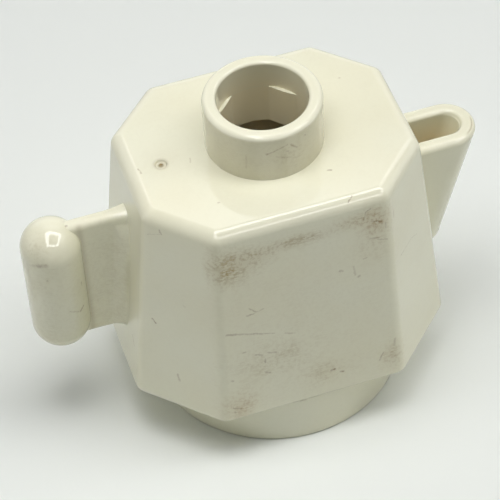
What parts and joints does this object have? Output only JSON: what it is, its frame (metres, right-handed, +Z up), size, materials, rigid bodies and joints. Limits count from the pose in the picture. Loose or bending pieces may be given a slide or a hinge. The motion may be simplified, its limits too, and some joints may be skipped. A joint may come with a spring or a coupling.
{
  "type": "toy teapot",
  "caption": "Hollow eight-sided toy teapot with an open stud-sized neck, a trough spout, a bar handle and a round foot with a stud socket underneath.",
  "frame": {"origin": "middle of the foot's underside, on the axis of the socket and the neck", "axes": "+X towards the spout, -X towards the handle, +Z up along the neck"},
  "size_m": [0.0378, 0.0212, 0.0294],
  "materials": {
    "ivory_plastic": "moulded ABS plastic, semi-gloss, aged and lightly scuffed"
  },
  "bodies": {
    "root": {"body_shell": "ivory_plastic", "neck_collar": "ivory_plastic", "spout": "ivory_plastic", "handle": "ivory_plastic", "base_foot": "ivory_plastic"}
  },
  "joints": []
}
